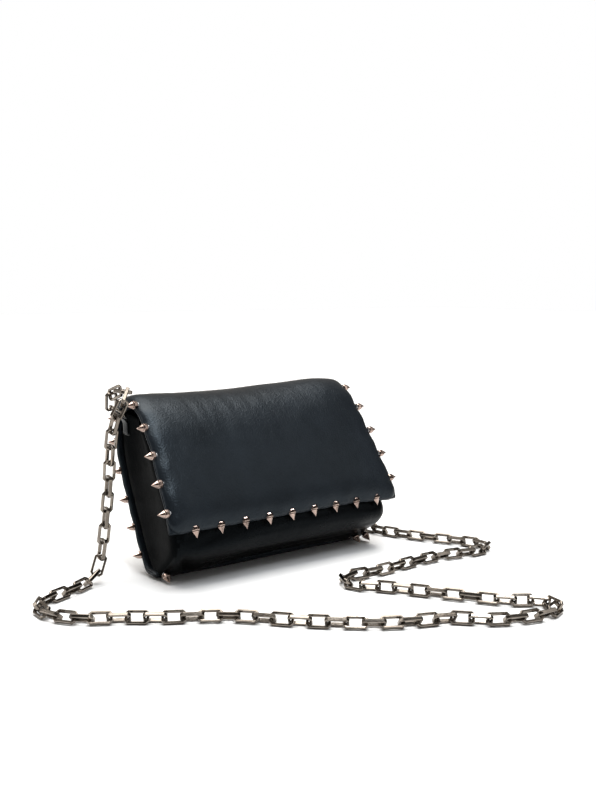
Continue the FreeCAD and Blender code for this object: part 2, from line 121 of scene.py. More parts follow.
ROLL_FADE = (4.0, 20.0)
CHAIN_NODES = [
    "chain_left_drop", "chain_left_floor", "chain_front_run", "chain_return_run",
    "chain_middle_run", "chain_back_run", "chain_rear_rise",
]


# ---- scene helpers -----------------------------------------------------------

def add_object(name, data):
    made = bpy.data.objects.new(name, data)
    bpy.context.scene.collection.objects.link(made)
    return made


def add_mesh(name, points, faces, smooth=True):
    """A mesh object from points in millimetres."""
    mesh = bpy.data.meshes.new(name)
    mesh.from_pydata((np.asarray(points, float) * MM).tolist(), [], faces)
    mesh.validate()
    bm = bmesh.new()
    bm.from_mesh(mesh)
    bmesh.ops.recalc_face_normals(bm, faces=bm.faces)
    bm.to_mesh(mesh)
    bm.free()
    mesh.polygons.foreach_set("use_smooth", [smooth] * len(mesh.polygons))
    return add_object(name, mesh)


def smoothstep(low, high, value):
    share = np.clip((np.asarray(value, float) - low) / (high - low), 0, 1)
    return share * share * (3 - 2 * share)


def bump_at(value, centre, spread):
    return np.exp(-((np.asarray(value, float) - centre) / spread) ** 2)


def noise_at(points, scale, seed):
    """Smooth noise between -1 and 1 at each of the points."""
    flat = np.asarray(points, float).reshape(-1, 3)
    offset = Vector((seed, seed * 1.7, seed * 2.3))
    values = [noise.noise(Vector(p) / scale + offset) for p in flat]
    return np.array(values).reshape(np.asarray(points).shape[:-1])


def lengths_along(line):
    """The distance along a line at each of its points."""
    return np.concatenate([[0], np.cumsum(np.linalg.norm(np.diff(line, axis=0), axis=1))])


# ---- outlines ----------------------------------------------------------------

class Run:
    """A smooth outline in the (y, z) plane that can be read at any distance along it."""

    def __init__(self, points, start=None, end=None, steps=40):
        places = np.array(points, float) + (SHIFT_Y, 0)
        ways = np.array([places[min(i + 1, len(places) - 1)] - places[max(i - 1, 0)]
                         for i in range(len(places))])
        if start:
            ways[0] = start
        if end:
            ways[-1] = end
        ways /= np.linalg.norm(ways, axis=1)[:, None]
        line = [places[:1]]
        t = (np.arange(steps) + 1)[:, None] / steps
        for here, there, way, next_way in zip(places, places[1:], ways, ways[1:]):
            reach = np.linalg.norm(there - here) / 3
            a, b = here + way * reach, there - next_way * reach
            line.append((1 - t) ** 3 * here + 3 * (1 - t) ** 2 * t * a
                        + 3 * (1 - t) * t ** 2 * b + t ** 3 * there)
        self.set_line(np.concatenate(line))

    def set_line(self, line):
        self.line = line
        self.along = lengths_along(line)
        way = np.gradient(line, axis=0)
        self.way = way / np.linalg.norm(way, axis=1)[:, None]
        self.length = self.along[-1]

    def joined(self, other):
        made = object.__new__(Run)
        made.set_line(np.concatenate([self.line, other.line[1:]]))
        return made

    def at(self, distances):
        """Points and inward normals at distances along the outline."""
        def read(values):
            return np.stack([np.interp(distances, self.along, values[:, k]) for k in (0, 1)], -1)
        way = read(self.way)
        way /= np.linalg.norm(way, axis=-1)[..., None]
        return read(self.line), np.stack([-way[..., 1], way[..., 0]], -1)


FRONT_RUN = Run(FRONT, end=CORNER_HEADING).joined(Run(BOTTOM, CORNER_HEADING, LEVEL_HEADING))
BACK_RUN = Run(BASE).joined(Run(BACK, LEVEL_HEADING, HINGE_HEADING))
FLAP_RUN = Run(FLAP, start=HINGE_HEADING)
PANEL_RUN = BACK_RUN.joined(FLAP_RUN)
HINGE_ALONG = BACK_RUN.length


# ---- slabs: closed padded pieces from two grids of points --------------------

EDGE_STEPS = (0, 0.2, 0.6, 1.2, 2.0, 3.0, 4.2, 5.6, 7.2, 9.2)
PLAIN_STEP = 2.6


def grid_faces(rows, cols, first=0, flip=False):
    index = np.arange(rows * cols).reshape(rows, cols) + first
    quads = np.stack([index[:-1, :-1], index[1:, :-1], index[1:, 1:], index[:-1, 1:]], -1)
    quads = quads.reshape(-1, 4)
    return (quads[:, ::-1] if flip else quads).tolist()


def grid_loop(rows, cols):
    """The (row, column) pairs round a grid's edge, in order."""
    top = [(0, j) for j in range(cols)]
    right = [(i, cols - 1) for i in range(1, rows)]
    low = [(rows - 1, j) for j in range(cols - 2, -1, -1)]
    left = [(i, 0) for i in range(rows - 2, 0, -1)]
    return np.array(top + right + low + left)


def slab(name, outer, inner, rim, swell=None):
    """A closed piece between two grids. Each rim row is (share of the thickness, how far out)."""
    rows, cols = outer.shape[:2]
    loop = grid_loop(rows, cols)
    i, j = loop[:, 0], loop[:, 1]
    middle = (outer + inner) / 2
    near = middle[np.clip(i, 1, rows - 2), np.clip(j, 1, cols - 2)]
    out = middle[i, j] - near
    out /= np.maximum(np.linalg.norm(out, axis=1), 1e-9)[:, None]
    swell = np.ones(len(loop)) if swell is None else swell(middle[i, j])
    points = [outer.reshape(-1, 3), inner.reshape(-1, 3)]
    faces = grid_faces(rows, cols) + grid_faces(rows, cols, rows * cols, True)
    last = i * cols + j
    first_new = 2 * rows * cols
    for share, reach in rim:
        ring = outer[i, j] * (1 - share) + inner[i, j] * share + out * (reach * swell)[:, None]
        points.append(ring)
        now = first_new + np.arange(len(loop))
        faces += strip(last, now)
        last, first_new = now, first_new + len(loop)
    faces += strip(last, rows * cols + i * cols + j)
    points = np.concatenate(points)
    points[:, 2] = np.maximum(points[:, 2], 0)
    return add_mesh(name, points, faces)


def strip(one, two):
    """Quads between two closed loops of point numbers."""
    return [(int(a), int(b), int(c), int(d))
            for a, b, c, d in zip(one, two, np.roll(two, -1), np.roll(one, -1))]


def edge_steps(length):
    """Distances across a piece, close together near both of its ends."""
    fine = np.array(EDGE_STEPS)
    middle = np.linspace(fine[-1], length - fine[-1],
                         max(2, round((length - 2 * fine[-1]) / PLAIN_STEP) + 1))
    return np.concatenate([fine[:-1], middle, length - fine[-2::-1]])


def rounded_edge(from_side, from_end, radius, drop):
    """How deep a surface sinks near its edges, and its plan distances with the corner rounded."""
    a = np.maximum(0, 1 - from_side / radius)
    b = np.maximum(0, 1 - from_end / radius)
    far = np.sqrt(a * a + b * b)
    trim = np.where(far > 1, 1 / np.maximum(far, 1e-9), 1.0)
    a, b = a * trim, b * trim
    depth = drop * (1 - np.sqrt(np.maximum(0, 1 - a * a - b * b)))
    side = np.where(from_side < radius, radius * (1 - a), from_side)
    end = np.where(from_end < radius, radius * (1 - b), from_end)
    return depth, side, end


def inflate(piece, loose, cap):
    """Swells a padded piece by cloth simulation, where its points are loose, up to a cap in metres."""
    held = piece.vertex_groups.new(name="held")
    for share in np.unique(np.round(loose, 1)):
        members = np.flatnonzero(np.round(loose, 1) == share)
        held.add(members.tolist(), 1 - float(share), "REPLACE")
    before = np.array([v.co for v in piece.data.vertices])
    cloth = piece.modifiers.new("cloth", "CLOTH")
    cloth.settings.vertex_group_mass = "held"
    cloth.settings.use_pressure = True
    cloth.settings.uniform_pressure_force = CLOTH_PRESSURE
    cloth.settings.effector_weights.gravity = 0
    cloth.point_cache.frame_start = 1
    cloth.point_cache.frame_end = CLOTH_FRAMES
    for step in range(1, CLOTH_FRAMES + 1):
        bpy.context.scene.frame_set(step)
    result = piece.evaluated_get(bpy.context.evaluated_depsgraph_get())
    after = np.array([v.co for v in result.data.vertices])
    piece.modifiers.remove(cloth)
    piece.vertex_groups.remove(held)
    bpy.context.scene.frame_set(1)
    move = after - before
    far = np.linalg.norm(move, axis=1)[:, None]
    eased = cap * np.tanh(far / cap) / np.maximum(far, 1e-9)
    swollen = before + move * eased
    swollen[:, 2] = np.maximum(swollen[:, 2], np.minimum(before[:, 2], 0))
    piece.data.vertices.foreach_set("co", swollen.ravel())
    piece.data.update()


# ---- the studded panel: back, fold and flap in one ---------------------------

PANEL_DEPTH = 6.5            # the lining adds the rest of the stack
FACE_ROLL = (8.5, 3.2)       # how far in the face starts to roll over, and how far it drops
LINING_ROLL = (1.1, 1.1)
THIN_ROLL = (0.01, 0.01)
PANEL_RIM = [(0.06, -0.05), (0.12, -0.5), (0.20, -0.1), (0.3, 0.35), (0.52, 0.5), (0.76, 0.35),
             (0.84, -0.1), (0.90, -0.4), (0.95, 0.0)]


def panel_half(z, along):
    """The panel's half width: the pouch's up the back, then the flap's taper."""
    share = np.clip((FLAP[2][1] - z) / (FLAP[2][1] - FLAP[-1][1]), 0, 1)
    flap = FLAP_TOP_HALF + (FLAP_END_HALF - FLAP_TOP_HALF) * share
    return POUCH_HALF + (flap - POUCH_HALF) * smoothstep(HINGE_ALONG - 6, HINGE_ALONG + 12, along)


def panel_grid(steps, columns, depth, roll, crown=0.0):
    """A sheet of the panel at a depth, rolled over at its edges, as a grid of points."""
    along = steps[:, None] * np.ones(len(columns))
    centre, _ = PANEL_RUN.at(along)
    half = panel_half(centre[..., 1], along)
    across = columns[None, :] * half
    from_side = (1 - np.abs(columns))[None, :] * half
    from_end = np.minimum(along, PANEL_RUN.length - along)
    sink, side, end = rounded_edge(from_side, from_end, *roll)
    along = np.where(along < PANEL_RUN.length / 2, end, PANEL_RUN.length - end)
    across = np.sign(across) * (half - side)
    near = np.minimum(side, end)
    puff = crown * (1 - np.exp(-near / 16))
    place, normal = PANEL_RUN.at(along)
    level = np.where(depth > 0, depth - sink, sink - puff)
    flat = place + normal * level[..., None]
    points = np.concatenate([across[..., None], flat], -1)
    return points, along, across


def shape_panel(points, along, across, outer):
    """The soft shape of the real panel: a dipping top edge, drawn sides and slight folds."""
    on_flap = smoothstep(HINGE_ALONG, HINGE_ALONG + 30, along)
    fold = bump_at(along, HINGE_ALONG + 30, 26)
    # the top edge: full at the right, slack from the middle to the left
    points[..., 2] += fold * (1.6 * bump_at(across, 66, 24) - 2.5 * bump_at(across, -20, 52) - 1.0)
    # the sides: wavy, and at the right drawn in below a full shoulder
    near_side = smoothstep(70, 90, np.abs(across)) * on_flap
    wave = noise_at(np.stack([np.sign(across), along / 15, along * 0], -1), 1.0, 21.0)
    middle = bump_at(along, HINGE_ALONG + 78, 34) * (across > 0)
    shoulder = bump_at(along, HINGE_ALONG + 20, 24) * (across > 0)
    points[..., 0] -= np.sign(across) * near_side * (0.3 + 0.7 * wave + 1.5 * middle - 3.0 * shoulder)
    # the lower right corner hangs out and down
    corner = smoothstep(52, 92, across) * smoothstep(PANEL_RUN.length - 46, PANEL_RUN.length, along)
    points[..., 0] += 1.5 * corner
    points[..., 1:] += corner[..., None] * np.array((-0.9, -2.0))
    if outer:
        edge = 1 - np.exp(-np.minimum(95 - np.abs(across), PANEL_RUN.length - along) / 9)
        ripple = noise_at(np.stack([across / 7, along / 34, along * 0], -1), 1.0, 3.0)
        broad = noise_at(np.stack([across / 38, along / 46, along * 0], -1), 1.0, 8.0)
        left = smoothstep(30, -70, across)
        lift = edge * (0.42 * ripple * left * on_flap + 0.7 * broad)
        lift -= STUD_DRAW * stud_nearness(points)
        _, normal = PANEL_RUN.at(along)
        points[..., 1:] -= normal * lift[..., None]
    return points


STUD_DRAW = 1.3              # how far a stud draws the leather beside it in
STUD_SPREAD = 9.0
STUD_PLACES = {}             # filled from the frame: row name to (places, direction)


def stud_nearness(points):
    """1 at a stud, and less with the distance from it."""
    near = np.full(points.shape[:-1], 1000.0)
    for places, _ in STUD_PLACES.values():
        for place in places:
            near = np.minimum(near, np.linalg.norm(points - place, axis=-1))
    return np.exp(-(near / STUD_SPREAD) ** 2)


def stud_swell(places):
    """1 between the studs and less beside them, where they draw the edge band in."""
    return 1.2 - 0.95 * stud_nearness(places)


def build_panel():
    steps = edge_steps(PANEL_RUN.length)
    columns = edge_steps(2 * FLAP_TOP_HALF) / FLAP_TOP_HALF - 1
    grid, along, across = panel_grid(steps, columns, 0, FACE_ROLL, crown=1.3)
    outer = shape_panel(grid, along, across, True)
    grid, along, across = panel_grid(steps, columns, PANEL_DEPTH, LINING_ROLL)
    inner = shape_panel(grid, along, across, False)
    panel = slab("studded_panel", outer, inner, PANEL_RIM, stud_swell)
    edge = np.minimum(panel_half(outer[..., 2], along) - np.abs(across),
                      np.minimum(along, PANEL_RUN.length - along))
    loose = np.zeros(len(panel.data.vertices))
    loose[:edge.size] = smoothstep(7, 22, edge).ravel()
    inflate(panel, loose, CLOTH_CAP)
    return panel


def build_flap_lining():
    steps = np.linspace(HINGE_ALONG + 4, PANEL_RUN.length - 4.2, 56)
    columns = np.linspace(-1, 1, 64) * (1 - 4.2 / FLAP_TOP_HALF)
    top, along, across = panel_grid(steps, columns, PANEL_DEPTH - 0.3, THIN_ROLL)
    low, _, _ = panel_grid(steps, columns, STACK + 0.05, THIN_ROLL)
    top = shape_panel(top, along, across, False)
    low = shape_panel(low, along, across, False)
    return slab("flap_lining_sheet", top, low, [(0.5, 0.25)])


# ---- the pouch: front, gussets and bottom in one soft shell ------------------

CORNER_ROUND = 10.0
POUCH_ROWS = 70
SECTION_COUNTS = (22, 9, 52)  # points up a gusset, round a corner and across the front
LINING_ROWS = 48
LINING_INSET = 4.6
GUSSET_FACING = 0.72         # how far a face looks sideways where it belongs to a gusset


def pouch_lines(count):
    """Matching places on the front's outline and the back's inner face, from mouth to base."""
    share = np.linspace(0, 1, count)
    share = share ** 0.92
    front, front_in = FRONT_RUN.at(share * FRONT_RUN.length)
    back, back_in = BACK_RUN.at((1 - share) * BACK_RUN.length)
    back = back + back_in * 6.0
    front[-1, 1] += 0.4
    return share, front, front_in, back


def gusset_sink(share):
    """How far a gusset folds in, from the mouth at share 0 to the base at 1."""
    return 4.2 * (1 - smoothstep(0.0, 0.5, share)) + 1.6 * (1 - smoothstep(0.7, 0.95, share))


def pouch_section(half, depth, corner, sunk):
    """A U-shaped section: up one gusset, round the front and back down the other."""
    sides, turns, faces = SECTION_COUNTS
    corner = min(corner, 0.45 * depth)
    q = depth - (depth - corner) * np.linspace(0, 1, sides, endpoint=False)
    inset = sunk * np.sin(np.pi * np.clip((q - corner) / max(depth - corner, 1e-6), 0, 1)) ** 1.5
    tuck = 3.4 * smoothstep(depth - 9, depth, q)
    gusset = np.stack([-(half - inset - tuck), q], -1)
    angle = np.linspace(0, np.pi / 2, turns, endpoint=False)
    turn = np.stack([-(half - corner) - corner * np.cos(angle), corner - corner * np.sin(angle)], -1)
    face = np.linspace(-(half - corner), 0, faces // 2, endpoint=False)
    flat = np.stack([face, face * 0], -1)
    left = np.concatenate([gusset, turn, flat])
    right = left[::-1] * (-1, 1)
    return np.concatenate([left, [[0, 0]], right])


def pouch_grid():
    share, front, _, back = pouch_lines(POUCH_ROWS)
    rows = []
    for s, f, b in zip(share, front, back):
        depth = np.linalg.norm(b - f)
        way = (b - f) / depth
        half = POUCH_HALF - 0.6 - 2.2 * smoothstep(0.93, 1.0, s)
        section = pouch_section(half, depth, CORNER_ROUND, gusset_sink(s))
        flat = f + section[:, 1:] * way
        rows.append(np.concatenate([section[:, :1], flat], -1))
    return share, np.array(rows)


def shape_pouch(grid):
    """Swells the belly below the flap and gives the whole shell soft folds."""
    x, y, z = grid[..., 0], grid[..., 1], grid[..., 2]
    # a soft ridge along the belly, lower at its left end
    ridge = bump_at(z, 24 + 5 * smoothstep(-90, 10, x), 6) * smoothstep(-14, -30, y)
    ends = 1 - smoothstep(60, 88, np.abs(x))
    grid[..., 1] -= ridge * (2.3 * ends + 1.1)
    # the right end bulges out below the flap
    lobe = bump_at(x, 78, 17) * bump_at(z, 27, 13) * smoothstep(10, -20, y)
    grid[..., 0] += 1.2 * lobe * smoothstep(60, 88, x)
    grid[..., 1] -= 1.6 * lobe
    # the underside lifts off the surface between its ends
    under = smoothstep(20, 8, z) * smoothstep(-4, -20, y)
    grid[..., 2] += under * (4.6 * bump_at(x, 5, 66) + 1.6)
    # a slanted pinch at the lower left corner
    pinch = bump_at(x + 0.7 * z, -66, 3.4) * bump_at(z, 10, 13) * smoothstep(4, -18, y)
    grid[..., 1] += 3.0 * pinch
    grid[..., 2] += 1.5 * pinch
    broad = noise_at(grid, 42.0, 5.0)
    fine = noise_at(grid * (1, 1, 0.5), 13.0, 11.0)
    side = smoothstep(80, 88, np.abs(x))
    grid[..., 0] -= np.sign(x) * side * np.maximum(0, 0.6 * broad + 0.25 * fine)
    grid[..., 1] += (1 - side) * smoothstep(41, 30, z) * (0.5 * broad + 0.2 * fine)
    return grid


def grid_normals(grid):
    """Unit normals of a grid of points, which point into the pouch."""
    across = np.gradient(grid, axis=1)
    down = np.gradient(grid, axis=0)
    normal = np.cross(across, down)
    return normal / np.maximum(np.linalg.norm(normal, axis=-1), 1e-9)[..., None]


def build_pouch():
    share, grid = pouch_grid()
    outer = shape_pouch(grid)
    normal = grid_normals(outer)
    if normal[outer.shape[0] // 3, outer.shape[1] // 2, 1] < 0:
        normal = -normal
    front_share = 1 - smoothstep(POUCH_HALF - 12, POUCH_HALF - 2, np.abs(outer[..., 0]))
    thick = 1.6 + 4.4 * front_share * (1 - 0.75 * smoothstep(0.8, 1.0, share))[:, None]
    inner = outer + normal * thick[..., None]
    pouch = slab("pouch_body", outer, inner, [(0.12, 0.45), (0.5, 0.8), (0.88, 0.45)])
    high = smoothstep(2, 12, outer[..., 2]) * (1 - smoothstep(84, 96, outer[..., 2]))
    loose = np.zeros(len(pouch.data.vertices))
    loose[:high.size] = (high * front_share).ravel()
    inflate(pouch, loose, CLOTH_CAP)
    return pouch


def build_pouch_lining():
    """The inside of the pouch: a closed-ended sleeve of lining just inside the padding."""
    share, front, front_in, back = pouch_lines(LINING_ROWS)
    keep = share < 0.93
    rings = []
    for s, f, n, b in zip(share[keep], front[keep], front_in[keep], back[keep]):
        near = f + n * 6.6
        depth = np.linalg.norm(b - near) - 1.4
        way = (b - near) / np.linalg.norm(b - near)
        sunk = gusset_sink(s)
        half = POUCH_HALF - LINING_INSET
        corner = min(3.0, depth * 0.3)
        ring = []
        for t in np.linspace(0, 1, 14):
            q = corner + (depth - 2 * corner) * t
            ring.append((-(half - sunk * math.sin(math.pi * t) ** 1.5), q))
        back_edge = [(x, depth) for x in np.linspace(-(half - corner), half - corner, 40)]
        mirror = [(-x, q) for x, q in reversed(ring)]
        front_edge = [(x, 0.0) for x in np.linspace(half - corner, -(half - corner), 40)]
        section = np.array(ring + back_edge + mirror + front_edge)
        flat = near + section[:, 1:] * way
        rings.append(np.concatenate([section[:, :1], flat], -1))
    rings = np.array(rings)
    rows, cols = rings.shape[:2]
    wrinkle = noise_at(rings, 20.0, 17.0)
    rings[..., 1] += 0.35 * wrinkle
    faces = []
    for i in range(rows - 1):
        faces += strip(np.arange(cols) + i * cols, np.arange(cols) + (i + 1) * cols)
    faces.append(list(range((rows - 1) * cols, rows * cols)))
    sleeve = add_mesh("pouch_lining", rings.reshape(-1, 3), faces)
    shell = sleeve.modifiers.new("thickness", "SOLIDIFY")
    shell.thickness = 0.5 * MM
    shell.offset = 0
    return sleeve


# ---- pockets inside ----------------------------------------------------------

CARD_LINE = [(36, 29.5), (46, 47.5), (55.5, 66), (61, 82)]
CARD_HALF = 46.0
CARD_LEAF = 0.8
CARD_STEP = 1.6
CARD_OFF = 1.2
CARD_LEAVES = 4
CARD_LOW = 34.5
CARD_TOP = 84.5
CARD_DROP = 11.0
SLIP_HALF = 78.0
SLIP_LEAF = 0.8
SLIP_OFF = 1.4
SLIP_LOW = 40.0
SLIP_TOP = 76.5


def leaf(name, run, near, thick, half, low, top, dip):
    """A thin leather leaf that follows an outline between two heights, with a soft rim."""
    z = run.line[:, 1]
    order = np.argsort(z)
    ends = np.interp([low, top], z[order], run.along[order])
    steps = np.linspace(ends[0], ends[1], 22)
    across = np.linspace(-half, half, 44)
    place, normal = run.at(steps)
    share = np.linspace(0, 1, len(steps))[:, None]
    sag = dip * share ** 2 * (1 - (across / half) ** 2)[None, :]
    grids = []
    for depth in (near, near + thick):
        flat = (place + normal * depth)[:, None, :] * np.ones((1, len(across), 1))
        grid = np.concatenate([np.broadcast_to(across, flat.shape[:2])[..., None], flat], -1)
        grid[..., 2] -= sag
        grids.append(grid)
    return slab(name, grids[0], grids[1], [(0.3, 0.22), (0.7, 0.22)])


def build_pockets():
    made = []
    run = Run(CARD_LINE)
    for index in range(CARD_LEAVES):
        made.append(leaf("card_leaf_%d" % (index + 1), run, STACK + CARD_OFF + index * CARD_STEP,
                         CARD_LEAF, CARD_HALF, CARD_LOW, CARD_TOP - index * CARD_DROP, dip=1.2))
    front = Run(FRONT[1:5])
    slip = leaf("slip_pocket_leaf", front, STACK + SLIP_OFF, SLIP_LEAF, SLIP_HALF,
                SLIP_LOW, SLIP_TOP, dip=1.6)
    return made, slip


# ---- studs -------------------------------------------------------------------

STUD_WAYS = {
    "flap_left": (-1, 0, 0), "flap_right": (1, 0, 0), "flap_end": (0, -0.398, -0.918),
    "back_left": (-1, 0, 0), "back_right": (1, 0, 0), "back_end": (0, 0.789, -0.615),
    "corner": (0, -0.86, -0.5),
}


def node_points(node):
    return np.array([v.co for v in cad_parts[node].data.vertices], float) / MM


def stud_clusters(node):
    """The points of each stud of a CAD row, apart from one another."""
    groups = []
    for point in node_points(node):
        for group in groups:
            if np.linalg.norm(group[0] - point) < 9:
                group.append(point)
                break
        else:
            groups.append([point])
    return [np.array(group) for group in groups]


def read_studs():
    """Where each CAD stud stands, for the way that its row points."""
    for name, way in STUD_WAYS.items():
        way = np.array(way, float) / np.linalg.norm(way)
        side = np.array((1.0, 0, 0)) if abs(way[0]) < 0.5 else np.array((0, 1.0, 0))
        other = np.cross(way, side)
        places = []
        for group in stud_clusters(name + "_studs"):
            reach = group @ way
            middle = [((group @ axis).min() + (group @ axis).max()) / 2 for axis in (side, other)]
            places.append(side * middle[0] + other * middle[1] + way * reach.min())
        STUD_PLACES[name] = (places, way)


def points_and_faces(mesh):
    points = np.array([v.co for v in mesh.verts], float)
    mesh.verts.index_update()
    faces = [tuple(v.index for v in face.verts) for face in mesh.faces]
    mesh.free()
    return points, faces


def stud_model():
    """A faceted stud: a chamfered eight-sided collar, a neck, and a four-sided point."""
    mesh = bmesh.new()
    rings = [  # height, width at the ridges, width between them
        (-1.9, 2.5, 2.5), (-1.2, 2.8, 2.8), (0.55, 2.8, 2.8), (0.95, 2.45, 2.45), (1.15, 2.2, 2.2),
        (1.45, 2.62, 2.3), (5.55, 0.26, 0.2), (5.85, 0.12, 0.12),
    ]
    loops = []
    for height, ridge, valley in rings:
        loop = []
        for corner in range(8):
            radius = ridge if corner % 2 == 0 else valley
            angle = math.radians(45 * corner)
            loop.append(mesh.verts.new((radius * math.cos(angle), radius * math.sin(angle), height)))
        loops.append(loop)
    for low, high in zip(loops, loops[1:]):
        for k in range(8):
            mesh.faces.new((low[k], low[(k + 1) % 8], high[(k + 1) % 8], high[k]))
    mesh.faces.new(loops[-1])
    mesh.faces.new(list(reversed(loops[0])))
    bmesh.ops.recalc_face_normals(mesh, faces=mesh.faces)
    edges = [e for e in mesh.edges if e.calc_length() > 0.9]
    bmesh.ops.bevel(mesh, geom=edges, offset=0.07, segments=1, affect="EDGES", profile=0.5)
    return points_and_faces(mesh)


def copies(name, model, transforms, marks=None, smooth=False):
    """One mesh object with a copy of the model at each 4 x 4 transform, in millimetres."""
    points, faces = model
    all_points = []
    all_faces = []
    for index, turn in enumerate(transforms):
        matrix = np.array(turn, float)
        all_points.append(points @ matrix[:3, :3].T + matrix[:3, 3])
        first = index * len(points)
        all_faces += [tuple(v + first for v in face) for face in faces]
    made = add_mesh(name, np.concatenate(all_points), all_faces, smooth)
    if marks is not None:
        made.data.polygons.foreach_set("material_index", list(marks) * len(transforms))
    return made


def frame_at(place, way, side):
    """A 4 x 4 transform whose Z runs along the way and X near the side."""
    z = Vector(way).normalized()
    x = (Vector(side) - z * Vector(side).dot(z)).normalized()
    turn = Matrix((x, z.cross(x), z)).transposed()
    return Matrix.Translation(place) @ turn.to_4x4()


def build_studs():
    model = stud_model()
    made = []
    for name, (places, way) in STUD_PLACES.items():
        side = (0, 0, 1) if abs(way[0]) > 0.5 else (1, 0, 0)
        turns = [frame_at(place, way, side) for place in places]
        made.append(copies(name + "_cones", model, turns))
    return made


# ---- chain -------------------------------------------------------------------

def route_line():
    """Points close together along the route's smooth curve, in millimetres."""
    data = bpy.data.curves.new("route", "CURVE")
    data.dimensions = "3D"
    spline = data.splines.new("NURBS")
    spline.points.add(len(CHAIN_ROUTE) - 1)
    for point, place in zip(spline.points, CHAIN_ROUTE):
        point.co = (*place, 1)
    spline.order_u = 3
    spline.use_endpoint_u = True
    spline.resolution_u = 48
    holder = bpy.data.objects.new("route", data)
    mesh = bpy.data.meshes.new_from_object(holder)
    line = np.array([v.co for v in mesh.vertices], float) / MM
    bpy.data.meshes.remove(mesh)
    bpy.data.objects.remove(holder)
    bpy.data.curves.remove(data)
    return line


def evenly(line, step):
    along = lengths_along(line)
    at = np.arange(0, along[-1], step)
    return np.stack([np.interp(at, along, line[:, k]) for k in range(3)], -1), along[-1]


def joints_along(places, pitch):
    """The places where links meet: a pitch apart, or less where the chain bends and goes slack."""
    joints = [places[0]]
    before = places[1] - places[0]
    for place in places:
        step = place - joints[-1]
        if step.length >= pitch * (1 - BEND_SLACK):
            bend = min(1.0, step.angle(before) / SHARP_BEND)
            if step.length >= pitch * (1 - BEND_SLACK * bend):
                joints.append(place)
                before = step
    return joints


def chain_joints(line):
    """Joints for an even number of links, with the widest pitch at which they fit the route."""
    places, length = evenly(line, 0.1)
    places = [Vector(place) for place in places]
    count = 2 * int(length / LINK_PITCH / 2)
    fits = LINK_PITCH * 0.95
    too_wide = LINK_PITCH * 1.1
    for _ in range(12):
        pitch = (fits + too_wide) / 2
        if len(joints_along(places, pitch)) > count:
            fits = pitch
        else:
            too_wide = pitch
    return joints_along(places, fits)[:count] + [places[-1]]


def link_transform(index, count, near, far):
    """A link lies at a slant on the surface and square where it hangs."""
    middle = (near + far) / 2
    along = (far - near).normalized()
    low, high = ROLL_FADE
    hang = min(1.0, max(0.0, (middle.z - low) / (high - low)))
    end = Vector((-1, 0, 0)) if index < count / 2 else Vector((0, -1, 0))
    up = Vector((0, 0, 1)) * (1 - hang) + end * hang
    side = up.cross(along).normalized()
    over = along.cross(side)
    turn = Matrix((along, side, over)).transposed()
    sway = LINK_SWAY * math.sin(SWAY_RATE * index) * (0 < index < count - 1)
    roll = 90 * ((index + 1) % 2) + 45 * (1 - hang) + sway
    turn = turn @ Matrix.Rotation(math.radians(roll), 3, "X")
    return Matrix.Translation(middle) @ turn.to_4x4()


def cut_rectangle(length, width, cut, height):
    a = length / 2
    b = width / 2
    return [(a, -b + cut, height), (a, b - cut, height), (a - cut, b, height), (-a + cut, b, height),
            (-a, b - cut, height), (-a, -b + cut, height), (-a + cut, -b, height),
            (a - cut, -b, height)]


def link_model():
    """A rectangular link with mitred corners, bevelled all round, its fine arrises painted bright as
    highlights.
    """
    outside = (LINK_LENGTH, LINK_WIDTH, LINK_CUT, -1)
    hole = (LINK_LENGTH - 2 * LINK_BAR, LINK_WIDTH - 2 * LINK_BAR, LINK_HOLE_CUT, 1)
    give = LINK_BEVEL * (2 - math.sqrt(2))
    section = []
    for rim, on_face, height in ((outside, 0, -1), (outside, 0, 1), (outside, 1, 1), (hole, 1, 1),
                                 (hole, 0, 1), (hole, 0, -1), (hole, 1, -1), (outside, 1, -1)):
        length, width, cut, grows = rim
        inset = 2 * LINK_BEVEL * on_face * grows
        level = height * (LINK_THICK / 2 - LINK_BEVEL * (1 - on_face))
        section.append((length + inset, width + inset, cut + give * on_face * grows, level))
    mesh = bmesh.new()
    loops = [[mesh.verts.new(p) for p in cut_rectangle(*size)] for size in section]
    for one, two in zip(loops, loops[1:] + loops[:1]):
        for k in range(8):
            mesh.faces.new((one[k], one[(k + 1) % 8], two[(k + 1) % 8], two[k]))
    bmesh.ops.recalc_face_normals(mesh, faces=mesh.faces)
    made = bmesh.ops.bevel(mesh, geom=list(mesh.edges), offset=LINK_HIGHLIGHT_ARRIS, segments=1,
                           affect="EDGES", profile=0.5)
    # the arris faces get the second, brighter material: a painted edge highlight
    highlight_faces = set(made["faces"])
    mesh.faces.ensure_lookup_table()
    marks = [int(face in highlight_faces) for face in mesh.faces]
    return *points_and_faces(mesh), marks


def build_chain():
    line = route_line()
    joints = chain_joints(line)
    count = len(joints) - 1
    turns = [link_transform(i, count, a, b) for i, (a, b) in enumerate(zip(joints, joints[1:]))]
    *model, marks = link_model()
    chain = copies("chain_links", model, turns, marks)
    path, length = evenly(line, 1.0)
    return chain, (path * MM).tolist(), float(length) * MM


# ---- tabs --------------------------------------------------------------------

RING_AT = (38.0, 108.0)
RING_OUT = 4.2
TAB_WIDTH = 7.0
TAB_THICK = 1.1
TAB_EYE = 1.25


